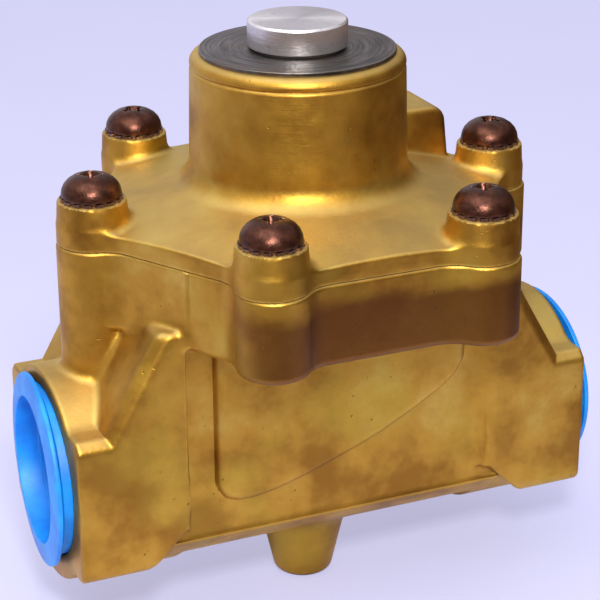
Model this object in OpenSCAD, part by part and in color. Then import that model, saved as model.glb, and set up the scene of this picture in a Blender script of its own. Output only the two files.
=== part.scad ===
// Remote pilot operated valve for one inch pipe: a brass globe body and a
// lobed brass bonnet with a spring tower, a diaphragm valve member inside,
// and push-in plastic plugs in both pipe ports.
// The modules are drawn round the point where the pipe axis (X) crosses the
// valve axis (Z). The finished part is then moved along X, so that its origin
// lies on the pipe axis in the middle of the inlet's tapping.

/* [Bolt pattern] */
// Radius of the circle through the bonnet screws
bolt_circle_r = 41.25; // [40.5:0.25:43]
// Number of bonnet screws
screw_count = 6; // [6]
// Radius of each lobe of the flange around a screw
lobe_r = 6.95; // [6.8:0.05:7.4]
// Distance from the valve axis to the straight sides of the flange
flange_apothem = 38.3; // [38:0.1:39.2]
// Radius of the hollow corner between a lobe and a straight side
lobe_fillet_r = 7; // [4:0.5:8]

/* [Body] */
// Half of the face-to-face length
face_x = 52.8; // [51:0.1:56]
// Half of the width across the flat sides of the hubs
hub_side_y = 21.3; // [20.9:0.1:22.5]
// Radius of the round part of each hub
hub_r = 20.9; // [20:0.1:21.5]
// How far the centre of that round part lies below the pipe axis
hub_drop = 0.8; // [0:0.1:1.2]
// Height of the ledge along each hub
ledge_z = 13.9; // [12:0.1:16]
// Depth of the lower corner of each hub
hub_low_z = 15.2; // [14:0.1:17]
// Radius along the edges of the hub sides
side_round_r = 2.6; // [1.5:0.1:3]
// Distance from the valve axis to the inner end of each hub
hub_inner_x = 31.5; // [31:0.1:31.7]
// Distance from the valve axis at which the gusset starts to rise
gusset_foot_x = 46.9; // [45:0.1:48]
// Distance from the valve axis at which the gusset meets the flange
gusset_top_x = 36.3; // [35.5:0.1:37.5]
// Height of the top of the gusset
gusset_top_z = 32.6; // [31:0.1:34]
// Half of the width of the middle of the body
waist_y = 19.1; // [18.9:0.1:20]
// Depth of the side walls of the middle of the body
waist_low_z = 11.8; // [9:0.1:12]
// Depth of the rounded underside of the middle of the body
keel_z = 20.2; // [18.8:0.1:22]
// How far the chamber bulge stands proud of the middle of the body
bulge_proud = 2.2; // [1:0.1:3]
// Height of the underside of the flange
flange_low_z = 28.8; // [28.5:0.1:30]
// Height of the joint between body and bonnet
joint_z = 44.5; // [44:0.1:46]
// Distance of the foot boss from the valve axis, along the pipe
foot_x = 0.5; // [0:0.1:2]
// Radius of the foot boss where it leaves the body
foot_top_r = 9; // [8:0.1:10]
// Radius of the foot boss at its lower end
foot_low_r = 5.7; // [5:0.1:6.5]
// Depth of the lower end of the foot boss
foot_z = 33.3; // [30:0.1:35]

/* [Pipe ports] */
// Radius of the tapping of each pipe port
port_r = 14.7; // [14:0.1:15.2]
// Length of that tapping
port_len = 12; // [11:0.5:13]
// Radius of the wide mouth of each port
mouth_r = 16.95; // [16.5:0.05:17.3]
// Depth of the wide mouth of each port
mouth_depth = 6.5; // [6:0.1:7]
// Radius of the passages behind the ports
passage_r = 12; // [11:0.1:12.3]

/* [Chamber and seat] */
// Half of the width of the chamber round the seat tube
chamber_y = 17.3; // [17:0.1:17.4]
// Distance from the valve axis to the inlet side of the chamber
chamber_x = 23.4; // [22.5:0.1:24]
// Height of the floor of the chamber on its outlet side
chamber_high_z = 16; // [15.5:0.1:18]
// Outer radius of the seat tube
seat_tube_r = 14.4; // [14.2:0.1:14.8]
// Height of the top of the seat tube
seat_tube_z = 32.4; // [32:0.1:33]
// Radius of the opening through the seat
seat_bore_r = 10.6; // [10:0.1:11]
// Thickness of the wall of the seat ring
seat_ring_wall = 2; // [1.6:0.1:2.4]
// Length of the seat ring inside the tube
seat_ring_len = 6; // [4:0.5:8]
// Height of the seat ring above the tube
seat_lip_h = 1.6; // [1.4:0.1:2]
// Radius of the bowl under the diaphragm
bowl_r = 27.5; // [27:0.1:28]

/* [Bonnet] */
// Thickness of the bonnet at its edge
bonnet_edge_h = 3.2; // [2.8:0.1:3.5]
// Height of the seats for the screw heads
boss_z = 52.7; // [52:0.1:54]
// Radius of the bosses under the screw heads
boss_r = 6.6; // [6.4:0.05:6.8]
// Height of the sloping top where it meets the tower
slope_top_z = 52.1; // [51.5:0.1:53]
// Radius of the tower
tower_r = 20.3; // [19.8:0.1:20.6]
// Extra radius at the foot of the tower
tower_draft = 0.5; // [0.2:0.1:0.8]
// Radius of the hollow corner at the foot of the tower
tower_fillet_r = 3.4; // [2:0.1:4]
// Height of the top of the tower
tower_z = 75.9; // [75:0.1:78]
// Height of the turned groove
groove_z = 73.5; // [73.4:0.1:73.6]
// Depth and half width of the turned groove
groove_size = 0.35; // [0.2:0.05:0.4]
// Radius of the rounded edge at the top of the tower
tower_round_r = 1.8; // [1.5:0.1:1.9]
// Radius of the spring chamber inside the tower
spring_bore_r = 15.6; // [15.2:0.1:16]
// Thickness of the roof over the spring chamber
roof_h = 5.8; // [5:0.1:6.5]
// Radius of the guide boss that hangs from the roof
guide_boss_r = 8.4; // [8.2:0.1:8.8]
// Length of the guide boss
guide_boss_len = 12; // [10:0.5:13]
// Radius of the tapped hole in the roof
roof_hole_r = 6.2; // [6.1:0.05:6.4]

/* [Pilot port] */
// Distance from the valve's middle plane to the near side of the pilot boss
pilot_side_y = 5; // [5:0.1:6]
// Radius of the pilot port's tapping
pilot_r = 4.3; // [4:0.1:4.3]
// Length of that tapping
pilot_len = 10; // [8:0.5:11]
// Height of the pilot port
pilot_z = 53.1; // [53:0.1:53.2]
// Distance from the valve axis to the end face of the pilot boss, along the pipe
pilot_end_x = 34.8; // [34:0.1:36]
// Width of the pilot boss
pilot_w = 15; // [14:0.1:15.5]
// Height of the top of the pilot boss
pilot_top_z = 59.6; // [59.5:0.1:60.5]
// Radius of the rounded edge between its top and its end face
pilot_round_r = 2; // [1:0.1:2.1]
// Radius of the drilled way from the pilot port to the spring chamber
pilot_way_r = 1.8; // [1.5:0.1:2.2]

/* [Screws and washers] */
// Radius of the screw threads
screw_r = 3; // [2.8:0.05:3.2]
// Length of the screws under the head
screw_len = 20; // [18:0.5:21]
// Radius of the screw heads
head_r = 5.6; // [5.3:0.05:5.8]
// Height of the screw heads
head_h = 4.2; // [4:0.1:4.6]
// Radius of the rounded shoulder of the screw heads
head_shoulder_r = 2.9; // [2.4:0.1:3]
// Width of the wings of the cross recess
recess_w = 1.2; // [1:0.1:1.4]
// Length of the wings from the screw's axis
recess_reach = 3.3; // [2.8:0.1:3.6]
// Thickness of the lock washers
washer_h = 0.7; // [0.5:0.1:1]
// Radius over the teeth of the lock washers
washer_r = 5.9; // [5.7:0.05:6.2]
// Number of teeth on each lock washer
washer_teeth = 16; // [12:2:20]

/* [Top disc and cap] */
// Radius of the steel disc on the tower
disc_r = 18.45; // [17.5:0.05:18.9]
// Thickness of the steel disc
disc_h = 0.8; // [0.8:0.1:1.5]
// Radius of the gasket under the cap
gasket_r = 8.9; // [8.6:0.1:9.1]
// Thickness of the gasket
gasket_h = 0.5; // [0.4:0.1:1]
// Radius of the aluminium cap
cap_r = 9.4; // [8.8:0.1:10]
// Height of the aluminium cap
cap_h = 4.9; // [4:0.1:7]
// Length of the threaded spigot below the disc
spigot_len = 4.6; // [3.8:0.1:4.8]

/* [Valve member] */
// How far the valve member lifts
lift = 5; // [4:0.1:5]
// Thickness of the diaphragm
diaphragm_h = 1.6; // [1.4:0.1:1.8]
// Outer radius of the diaphragm
diaphragm_r = 34.6; // [34:0.1:35]
// Outer radius of the clamping plates
plate_r = 15.6; // [15:0.1:16]
// Thickness of the plate above the diaphragm
plate_h = 2.4; // [2:0.1:2.6]
// Thickness of the seat disc
seat_disc_h = 2.4; // [2:0.1:2.4]
// How far the seat disc stands out of its holder
seat_disc_proud = 0.7; // [0.5:0.1:0.8]
// Outer radius of the seat disc
seat_disc_r = 13.6; // [13.4:0.1:14]
// Inner radius of the seat disc
seat_disc_hole_r = 8; // [7.6:0.1:8.4]
// Radius of the stem
stem_r = 4; // [3.6:0.1:4.2]
// Radius of the head at the foot of the stem
stem_head_r = 6.4; // [6:0.1:6.8]
// Height of that head
stem_head_h = 2.6; // [2:0.1:3]
// Width across the flats of the stem nut
nut_af = 13; // [12:0.5:14]
// Height of the stem nut
nut_h = 4; // [3:0.1:5]
// Outer radius of the guide bush
bush_r = 5.8; // [5.6:0.1:6]
// Length of the guide bush
bush_len = 10; // [8:0.5:11]
// Mean radius of the return spring
spring_r = 12; // [11.6:0.1:12.4]
// Diameter of the spring wire
wire_d = 2.2; // [1.8:0.1:2.4]
// Number of turns of the spring
spring_turns = 6; // [5:0.5:7]

/* [Port plugs] */
// Radius of the flange of each plug
plug_flange_r = 18.7; // [18:0.1:19.2]
// Thickness of that flange
plug_flange_h = 1.2; // [1:0.1:1.6]
// Length of neck that shows between flange and hub
plug_neck = 1.3; // [1.3:0.1:3]
// How far the plugs stand askew in the ports, in degrees
plug_askew = 3.4; // [0:0.1:3.6]
// Radius of the hollow in each plug
plug_hollow_r = 14.2; // [13:0.1:14.6]
// Depth of the small step inside the hollow
plug_step = 4.4; // [3:0.1:5]
// How deep the plug reaches into the port
plug_depth = 5.3; // [5:0.1:5.5]
// Thickness of the plug's floor
plug_floor = 1.5; // [1:0.1:2]

/* [Clearances] */
// Radial clearance of threads in their tappings
thread_gap = 0.05; // [0.03:0.01:0.1]
// Radial clearance of the screws in the bonnet
screw_hole_gap = 0.35; // [0.2:0.05:0.4]
// Radial clearance of the stem in its bush
stem_gap = 0.04; // [0.02:0.01:0.08]
// Radial clearance round parts that are pushed or pressed in
seat_gap = 0.03; // [0.02:0.01:0.06]
// Radial clearance round the plugs in the mouths of the ports
plug_gap = 0.3; // [0.2:0.05:0.4]
// Clearance round the diaphragm
diaphragm_gap = 0.3; // [0.2:0.05:0.4]

/* [Hidden] */
$fn = 96;

brass = [0.72, 0.55, 0.22];
turned_brass = [0.80, 0.66, 0.32];
steel = [0.45, 0.44, 0.43];
screw_brown = [0.36, 0.18, 0.10];
aluminium = [0.78, 0.76, 0.76];
rubber = [0.12, 0.12, 0.12];
plug_blue = [0.05, 0.47, 0.93];

side_angle = 360 / screw_count;
overcut = 1;

// Heights that follow from the seat upwards
seat_z = seat_tube_z + seat_lip_h;
seat_ring_r = seat_bore_r + seat_ring_wall;
holder_low_z = seat_z + seat_disc_proud;
diaphragm_low_z = joint_z - diaphragm_h;
member_z = diaphragm_low_z - lift;
plate_low_z = member_z + diaphragm_h;
plate_top_z = plate_low_z + plate_h;
roof_z = tower_z - roof_h;
bush_low_z = roof_z - guide_boss_len;
disc_top_z = tower_z + disc_h;
cap_low_z = disc_top_z + gasket_h;
head_z = boss_z + washer_h;
// At full lift the stem stops this far below the cap's spigot
stem_stop_gap = 1;
stem_top_z = disc_top_z - spigot_len - lift - stem_stop_gap;

// Flange outline, shared by the body and the bonnet

// Where the hollow corner beside a lobe is centred, seen from the lobe with
// the side of the flange to the right: [along the side, away from the axis]
lobe_inset = bolt_circle_r * cos(side_angle / 2);
corner_away = flange_apothem + lobe_fillet_r - lobe_inset;
corner_along = sqrt(pow(lobe_r + lobe_fillet_r, 2) - pow(corner_away, 2));

module lobe_corner_2d() {
    difference() {
        polygon([
            [0, 0],
            [0, flange_apothem - lobe_inset - overcut],
            [corner_along, flange_apothem - lobe_inset - overcut],
            [corner_along, flange_apothem - lobe_inset],
            [corner_along, corner_away]
        ]);
        translate([corner_along, corner_away]) circle(r = lobe_fillet_r);
    }
}

module flange_2d() {
    circle(r = flange_apothem / cos(side_angle / 2), $fn = screw_count);
    for (i = [0 : screw_count - 1]) {
        rotate(i * side_angle) {
            translate([bolt_circle_r, 0]) {
                circle(r = lobe_r);
                rotate(side_angle / 2 - 90) lobe_corner_2d();
                mirror([0, 1]) rotate(side_angle / 2 - 90) lobe_corner_2d();
            }
        }
    }
}

module at_screws() {
    for (i = [0 : screw_count - 1])
        rotate(i * side_angle) translate([bolt_circle_r, 0, 0]) children();
}

module along_pipe(r, from_x, to_x) {
    translate([from_x, 0, 0]) rotate([0, 90, 0]) cylinder(r = r, h = to_x - from_x);
}

// Stands a side view, drawn with X across and Z up, on both sides of the pipe
module side_slab(half_w) {
    rotate([90, 0, 0]) translate([0, 0, -half_w]) linear_extrude(2 * half_w) children();
}

// Body

// A rectangle with its two corners at the far end rounded
module round_end_2d(width, length, r) {
    translate([0, -width / 2]) square([length - r, width]);
    translate([0, r - width / 2]) square([length, width - 2 * r]);
    for (side = [-1, 1])
        translate([length - r, side * (width / 2 - r)]) circle(r = r);
}

// Flat-sided block of one hub, rounded along its top and bottom edges
module hub_block() {
    width = 2 * hub_side_y;
    slope = hub_low_z - waist_low_z;
    difference() {
        translate([hub_inner_x, 0, 0]) rotate([0, 90, 0]) linear_extrude(face_x - hub_inner_x) {
            round_end_2d(width, hub_low_z, side_round_r);
            mirror([1, 0]) round_end_2d(width, ledge_z, side_round_r);
        }
        translate([hub_inner_x, 0, -hub_low_z]) rotate([0, 45, 0])
            translate([-slope, -width, -slope]) cube([2 * slope, 2 * width, slope * (1 + sqrt(0.5))]);
    }
}

// Slanting rib between the ledge of the hub and the flange, a little narrower
module gusset() {
    set_back = 0.1;
    root_z = -3;
    lean = atan2(gusset_foot_x - gusset_top_x, gusset_top_z - ledge_z);
    intersection() {
        translate([gusset_foot_x, 0, ledge_z]) rotate([0, -lean, 0])
            translate([-face_x, 0, -ledge_z])
                linear_extrude(2 * gusset_top_z)
                    round_end_2d(2 * (hub_side_y - set_back), face_x, side_round_r);
        translate([hub_inner_x + set_back, -hub_side_y, root_z])
            cube([face_x - hub_inner_x - 1, 2 * hub_side_y, gusset_top_z - root_z]);
    }
}

module hub() {
    hub_block();
    gusset();
    translate([0, 0, -hub_drop]) along_pipe(hub_r, hub_inner_x - overcut, face_x);
    translate([bolt_circle_r, 0, 0]) cylinder(r = lobe_r, h = flange_low_z + overcut);
}

// The middle of the body between the hubs, with a rounded underside
keel_r = (pow(waist_y, 2) + pow(keel_z - waist_low_z, 2)) / (2 * (keel_z - waist_low_z));
module waist() {
    half = hub_inner_x + overcut;
    rotate([90, 0, 90]) translate([0, 0, -half]) linear_extrude(2 * half) {
        translate([-waist_y, -waist_low_z])
            square([2 * waist_y, waist_low_z + flange_low_z + overcut]);
        intersection() {
            translate([0, keel_r - keel_z]) circle(r = keel_r);
            translate([-waist_y, -keel_z - overcut]) square([2 * waist_y, keel_z]);
        }
    }
}

// Side view of the chamber bulge: deep beside the inlet, shallow at the outlet
module bulge_2d() {
    polygon([
        [-25.6, flange_low_z + overcut],
        [-25.6, 0.2],
        [-25, -1.6],
        [-23.8, -3.1],
        [-21.5, -4.1],
        [-18.5, -4.2],
        [-15, -3.7],
        [-11.2, -2.8],
        [-6.7, -1.4],
        [-1.9, 0.3],
        [4.4, 2.6],
        [8.6, 4.4],
        [15, 7.7],
        [21, 11.2],
        [24.2, 13.8],
        [26, 17],
        [26.8, flange_low_z + overcut]
    ]);
}

module bulge() {
    side_slab(waist_y + bulge_proud) bulge_2d();
}

module foot_boss() {
    round_r = 1.4;
    translate([foot_x, 0, 0]) rotate_extrude()
        polygon([
            [0, -keel_z + 4],
            [foot_top_r + 0.6, -keel_z + 4],
            [foot_low_r, -foot_z + round_r],
            for (a = [20 : 20 : 70])
                [foot_low_r - round_r * (1 - cos(a)), -foot_z + round_r * (1 - sin(a))],
            [foot_low_r - round_r, -foot_z],
            [0, -foot_z]
        ]);
}

// Everything on the inlet side of the seat
module inlet_cavity() {
    difference() {
        union() {
            translate([0, 0, seat_tube_z - overcut / 2])
                cylinder(r = bowl_r, h = joint_z - seat_tube_z + overcut);
            translate([0, 0, chamber_high_z])
                cylinder(r = chamber_y, h = joint_z - chamber_high_z);
            translate([-chamber_x, -chamber_y, 0])
                cube([chamber_x - seat_tube_r / 2, 2 * chamber_y, seat_tube_z]);
        }
        translate([0, 0, -overcut]) cylinder(r = seat_tube_r, h = seat_tube_z + overcut);
    }
    along_pipe(passage_r, -face_x, -seat_tube_r - 0.4);
}

// Everything on the outlet side of the seat
module outlet_cavity() {
    cylinder(r = seat_bore_r, h = joint_z);
    along_pipe(passage_r, 0, face_x);
}

module pipe_port() {
    along_pipe(port_r, face_x - mouth_depth - port_len, face_x);
    along_pipe(mouth_r, face_x - mouth_depth, face_x + overcut);
}

module valve_body() {
    color(brass) difference() {
        union() {
            translate([0, 0, flange_low_z]) linear_extrude(joint_z - flange_low_z) flange_2d();
            hub();
            mirror([1, 0, 0]) hub();
            waist();
            bulge();
            foot_boss();
        }
        inlet_cavity();
        outlet_cavity();
        pipe_port();
        mirror([1, 0, 0]) pipe_port();
        translate([0, 0, seat_tube_z - seat_ring_len])
            cylinder(r = seat_ring_r + seat_gap, h = joint_z);
        translate([0, 0, diaphragm_low_z])
            cylinder(r = diaphragm_r + diaphragm_gap, h = diaphragm_h + overcut);
        at_screws() translate([0, 0, head_z - screw_len - 2])
            cylinder(r = screw_r + thread_gap, h = screw_len + 2);
    }
}

// Bonnet

slope_r = tower_r + tower_draft;
edge_z = joint_z + bonnet_edge_h;

// Centre of the hollow corner between the sloping top and the tower
slope_end_r = flange_apothem + 1;
slope_angle = atan2(slope_top_z - edge_z, slope_end_r - slope_r);
fillet_x = slope_r + tower_fillet_r;
fillet_z = slope_top_z + tower_fillet_r * (1 / cos(slope_angle) - tan(slope_angle));

// Half section of the tower and of the sloping top
module bonnet_section_2d() {
    polygon([
        [0, joint_z],
        [bolt_circle_r + lobe_r + overcut, joint_z],
        [bolt_circle_r + lobe_r + overcut, edge_z],
        [slope_end_r, edge_z],
        for (a = [270 - slope_angle : -10 : 180])
            [fillet_x + tower_fillet_r * cos(a), fillet_z + tower_fillet_r * sin(a)],
        [tower_r, groove_z - groove_size],
        [tower_r - groove_size, groove_z],
        [tower_r, groove_z + groove_size],
        for (a = [0 : 15 : 90])
            [
                tower_r - tower_round_r * (1 - cos(a)),
                tower_z - tower_round_r * (1 - sin(a))
            ],
        [0, tower_z]
    ]);
}

module screw_boss() {
    sunk = 1;
    translate([0, 0, edge_z - sunk])
        cylinder(r1 = lobe_r, r2 = boss_r - 0.1, h = boss_z - edge_z + sunk);
}

// Block beside the tower, drawn as its side view
module pilot_boss() {
    root_x = tower_r / 2;
    round_x = pilot_end_x - pilot_round_r;
    round_z = pilot_top_z - pilot_round_r;
    translate([0, pilot_side_y + pilot_w, 0]) rotate([90, 0, 0]) linear_extrude(pilot_w) {
        translate([root_x, joint_z]) square([pilot_end_x - root_x, round_z - joint_z]);
        translate([root_x, joint_z]) square([round_x - root_x, pilot_top_z - joint_z]);
        translate([round_x, round_z]) circle(r = pilot_round_r);
    }
}

module pilot_holes() {
    translate([0, pilot_side_y + pilot_w / 2, pilot_z]) {
        along_pipe(pilot_r, pilot_end_x - pilot_len, pilot_end_x + overcut);
        along_pipe(pilot_way_r, spring_bore_r / 2, pilot_end_x);
    }
}

// The control chamber over the diaphragm and the spring chamber in the tower
module bonnet_cavity() {
    wall = 4;
    rotate_extrude() polygon([
        [0, joint_z - overcut],
        [bowl_r, joint_z - overcut],
        [bowl_r, joint_z + 0.7],
        [slope_r - wall / 2, slope_top_z - wall],
        [spring_bore_r, slope_top_z - wall],
        [spring_bore_r, roof_z],
        [guide_boss_r, roof_z],
        [guide_boss_r, bush_low_z],
        [0, bush_low_z]
    ]);
}

module bonnet() {
    color(brass) difference() {
        union() {
            intersection() {
                rotate_extrude() bonnet_section_2d();
                translate([0, 0, joint_z]) linear_extrude(tower_z) flange_2d();
            }
            at_screws() screw_boss();
            pilot_boss();
        }
        bonnet_cavity();
        pilot_holes();
        translate([0, 0, roof_z - guide_boss_len - overcut])
            cylinder(r = bush_r + seat_gap, h = bush_len + overcut);
        cylinder(r = stem_r + 0.6, h = tower_z);
        translate([0, 0, disc_top_z - spigot_len - overcut])
            cylinder(r = roof_hole_r, h = spigot_len + overcut);
        at_screws() translate([0, 0, joint_z - overcut])
            cylinder(r = screw_r + screw_hole_gap, h = boss_z);
    }
}

// Fasteners

// Half section of a pan head: a short side, a round shoulder and a low crown
module screw_head_2d() {
    side_h = 0.9;
    crown_r = head_r - head_shoulder_r;
    polygon([
        [0, 0],
        [head_r, 0],
        for (a = [0 : 15 : 75])
            [crown_r + head_shoulder_r * cos(a), side_h + head_shoulder_r * sin(a)],
        [crown_r / 2, head_h - 0.1],
        [0, head_h]
    ]);
}

// Turn of each screw's cross recess after tightening
recess_turns = [40, 12, 66, 40, 62, 20];

module screw(turn) {
    tip = 0.6;
    difference() {
        union() {
            rotate_extrude() screw_head_2d();
            translate([0, 0, tip - screw_len]) cylinder(r = screw_r, h = screw_len - tip + 0.5);
            translate([0, 0, -screw_len]) cylinder(r1 = screw_r - tip, r2 = screw_r, h = tip);
        }
        rotate(turn) for (a = [0, 90]) rotate(a)
            translate([-recess_reach, -recess_w / 2, head_h - 2.1])
                cube([2 * recess_reach, recess_w, 3]);
        translate([0, 0, head_h - 2.9]) cylinder(r1 = 0.6, r2 = 1.7, h = 3);
    }
}

module bonnet_screw(i) {
    color(screw_brown) rotate(i * side_angle) translate([bolt_circle_r, 0, head_z])
        screw(recess_turns[i]);
}

module lock_washer(i) {
    root_r = head_r - 0.5;
    pitch = 360 / washer_teeth;
    color(screw_brown) rotate(i * side_angle) translate([bolt_circle_r, 0, boss_z])
        linear_extrude(washer_h) difference() {
            polygon([
                for (t = [0 : washer_teeth - 1], step = [[0, 0], [0.15, 1], [0.55, 1], [0.7, 0]])
                    let (a = (t + step[0]) * pitch, r = root_r + step[1] * (washer_r - root_r))
                    [r * cos(a), r * sin(a)]
            ]);
            circle(r = screw_r + 0.2);
        }
}

// Top disc, gasket and cap

module cover_disc() {
    color(steel) translate([0, 0, tower_z]) difference() {
        cylinder(r = disc_r, h = disc_h);
        translate([0, 0, -overcut]) cylinder(r = roof_hole_r + 0.1, h = disc_h + 2 * overcut);
    }
}

module cap_gasket() {
    color(rubber) translate([0, 0, disc_top_z]) difference() {
        cylinder(r = gasket_r, h = gasket_h);
        translate([0, 0, -overcut]) cylinder(r = roof_hole_r + 0.1, h = gasket_h + 2 * overcut);
    }
}

module top_cap() {
    edge = 0.3;
    color(aluminium) translate([0, 0, cap_low_z]) {
        cylinder(r = cap_r, h = cap_h - edge);
        translate([0, 0, cap_h - edge]) cylinder(r1 = cap_r, r2 = cap_r - edge, h = edge);
        translate([0, 0, -spigot_len]) cylinder(r = roof_hole_r - thread_gap, h = spigot_len + 0.5);
    }
}

// Port plugs

plug_r = mouth_r - plug_gap;
module plug() {
    rib = 0.5;
    step = 0.5;
    back_x = face_x - plug_depth;
    flange_x = face_x + plug_neck;
    front_x = flange_x + plug_flange_h;
    grip_x = face_x - plug_depth / 2;
    color(plug_blue)
    translate([grip_x, 0, 0]) rotate([0, 0, plug_askew]) translate([-grip_x, 0, 0])
    rotate([0, 90, 0]) rotate_extrude() polygon([
        [0, back_x],
        [plug_r - 0.6, back_x],
        [plug_r, back_x + 1.5],
        [plug_r, face_x + plug_neck / 2],
        [plug_r - rib, face_x + plug_neck / 2],
        [plug_r - rib, flange_x],
        [plug_flange_r, flange_x],
        [plug_flange_r, front_x],
        [plug_hollow_r, front_x],
        [plug_hollow_r, front_x - plug_step],
        [plug_hollow_r - step, front_x - plug_step],
        [plug_hollow_r - step, back_x + plug_floor],
        [0, back_x + plug_floor]
    ]);
}

module inlet_plug() { mirror([1, 0, 0]) plug(); }
module outlet_plug() { plug(); }

// Seat and valve member

module seat_ring() {
    lip_r = seat_ring_r - 0.4;
    color(turned_brass) rotate_extrude() polygon([
        [seat_bore_r, seat_tube_z - seat_ring_len],
        [seat_ring_r, seat_tube_z - seat_ring_len],
        [seat_ring_r, seat_tube_z],
        [lip_r, seat_z],
        [seat_bore_r, seat_z]
    ]);
}

module seat_disc() {
    color(rubber) translate([0, 0, seat_z]) difference() {
        cylinder(r = seat_disc_r, h = seat_disc_h);
        translate([0, 0, -overcut]) cylinder(r = seat_disc_hole_r, h = seat_disc_h + 2 * overcut);
    }
}

module disc_holder() {
    color(turned_brass) difference() {
        translate([0, 0, holder_low_z]) cylinder(r = plate_r, h = member_z - holder_low_z);
        translate([0, 0, holder_low_z - overcut]) difference() {
            cylinder(r = seat_disc_r + seat_gap, h = seat_disc_h - seat_disc_proud + overcut);
            cylinder(r = seat_disc_hole_r - seat_gap, h = seat_disc_h + overcut);
        }
        translate([0, 0, holder_low_z - overcut]) cylinder(r = stem_r + seat_gap, h = plate_r);
    }
}

module stem() {
    color(steel) {
        translate([0, 0, holder_low_z - stem_head_h]) cylinder(r = stem_head_r, h = stem_head_h);
        translate([0, 0, holder_low_z - stem_head_h / 2])
            cylinder(r = stem_r, h = stem_top_z - holder_low_z + stem_head_h / 2);
    }
}

module stem_nut() {
    color(steel) translate([0, 0, plate_top_z]) difference() {
        cylinder(r = nut_af / 2 / cos(30), h = nut_h, $fn = 6);
        translate([0, 0, -overcut]) cylinder(r = stem_r + thread_gap, h = nut_h + 2 * overcut);
    }
}

// Clamped flat at its rim and, lower down, between the plates
module diaphragm() {
    free_in = plate_r + 2.4;
    free_out = bowl_r - 1.5;
    color(rubber) rotate_extrude() polygon([
        [stem_r + seat_gap, member_z],
        [free_in, member_z],
        [free_out, diaphragm_low_z],
        [diaphragm_r, diaphragm_low_z],
        [diaphragm_r, joint_z],
        [free_out - 0.6, joint_z],
        [free_in - 0.6, plate_low_z],
        [stem_r + seat_gap, plate_low_z]
    ]);
}

module diaphragm_plate() {
    edge = 0.6;
    color(steel) translate([0, 0, plate_low_z]) difference() {
        union() {
            cylinder(r = plate_r, h = plate_h - edge);
            translate([0, 0, plate_h - edge])
                cylinder(r1 = plate_r, r2 = plate_r - edge, h = edge);
        }
        translate([0, 0, -overcut]) cylinder(r = stem_r + seat_gap, h = plate_h + 2 * overcut);
    }
}

module guide_bush() {
    color(turned_brass) translate([0, 0, bush_low_z]) difference() {
        cylinder(r = bush_r, h = bush_len);
        translate([0, 0, -overcut]) cylinder(r = stem_r + stem_gap, h = bush_len + 2 * overcut);
    }
}

// Spring: a wire swept along a helix whose first and last turns lie closed

wire_sides = 8;
turn_steps = 18;
closed_turns = 1;
spring_low_z = plate_top_z + wire_d / 2;
spring_high_z = roof_z - wire_d / 2;
wire_pitch = wire_d * 1.02;

// Height of the wire's centre after t turns
function coil_z(t) =
    t < closed_turns ? spring_low_z + wire_pitch * t / 2
    : t > spring_turns - closed_turns
        ? spring_high_z - wire_pitch * (spring_turns - t) / 2
    : let (share = (t - closed_turns) / (spring_turns - 2 * closed_turns))
      let (low = spring_low_z + wire_pitch / 2, high = spring_high_z - wire_pitch / 2)
      low + share * (high - low);

module return_spring() {
    steps = round(spring_turns * turn_steps);
    points = [
        for (i = [0 : steps], k = [0 : wire_sides - 1])
            let (t = i / turn_steps, a = 360 * t, b = 360 * k / wire_sides)
            let (r = spring_r + wire_d / 2 * cos(b))
            [r * cos(a), r * sin(a), coil_z(t) + wire_d / 2 * sin(b)]
    ];
    sides = [
        for (i = [0 : steps - 1], k = [0 : wire_sides - 1])
            let (m = (k + 1) % wire_sides, p = i * wire_sides, q = (i + 1) * wire_sides)
            [p + k, q + k, q + m, p + m]
    ];
    first = [for (k = [0 : wire_sides - 1]) k];
    last = [for (k = [wire_sides - 1 : -1 : 0]) steps * wire_sides + k];
    color(steel) polyhedron(points, concat([first, last], sides), 4);
}

// Moves the valve so that the middle of the inlet's tapping is the origin
module placed() {
    translate([face_x - mouth_depth - port_len / 2, 0, 0]) children();
}

placed() valve_body();
placed() bonnet();
for (i = [0 : screw_count - 1]) {
    placed() bonnet_screw(i);
    placed() lock_washer(i);
}
placed() cover_disc();
placed() cap_gasket();
placed() top_cap();
placed() inlet_plug();
placed() outlet_plug();
placed() seat_ring();
placed() seat_disc();
placed() disc_holder();
placed() stem();
placed() stem_nut();
placed() diaphragm();
placed() diaphragm_plate();
placed() return_spring();
placed() guide_bush();
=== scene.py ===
import math

import bmesh
import bpy
import numpy as np
from mathutils import Matrix, Vector


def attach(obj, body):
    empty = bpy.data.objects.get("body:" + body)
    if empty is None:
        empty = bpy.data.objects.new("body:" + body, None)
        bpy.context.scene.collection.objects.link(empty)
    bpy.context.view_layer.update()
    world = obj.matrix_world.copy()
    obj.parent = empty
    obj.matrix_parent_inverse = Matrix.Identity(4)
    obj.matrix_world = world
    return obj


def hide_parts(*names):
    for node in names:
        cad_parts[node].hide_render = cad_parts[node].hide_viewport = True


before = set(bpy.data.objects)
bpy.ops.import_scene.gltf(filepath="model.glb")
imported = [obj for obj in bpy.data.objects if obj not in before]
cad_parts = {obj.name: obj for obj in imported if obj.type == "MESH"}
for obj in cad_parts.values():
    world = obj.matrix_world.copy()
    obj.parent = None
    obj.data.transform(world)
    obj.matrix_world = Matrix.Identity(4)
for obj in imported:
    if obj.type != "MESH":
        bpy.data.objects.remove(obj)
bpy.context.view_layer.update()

MM = 0.001
VALVE_AXIS_X = 40.3

# Bolt circle and flange
BOLT_R = 41.25
LOBE_R = 6.95
APOTHEM = 38.3
CORNER_R = 7.0
FLANGE_LOW_Z = 28.7
FLANGE_EDGE_R = 1.7
JOINT_Z = 44.5
EDGE_Z = 47.7
BODY_SEAM_R = 0.7
BONNET_SEAM_R = 0.22
BODY_SHIFT_X = 0.3
BONNET_INSET = 0.15
PARTING_X = 31.5
PARTING_HALF_W = 0.35
PARTING_PROUD = 0.22
SLOPE_END_R = APOTHEM + 1

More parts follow.
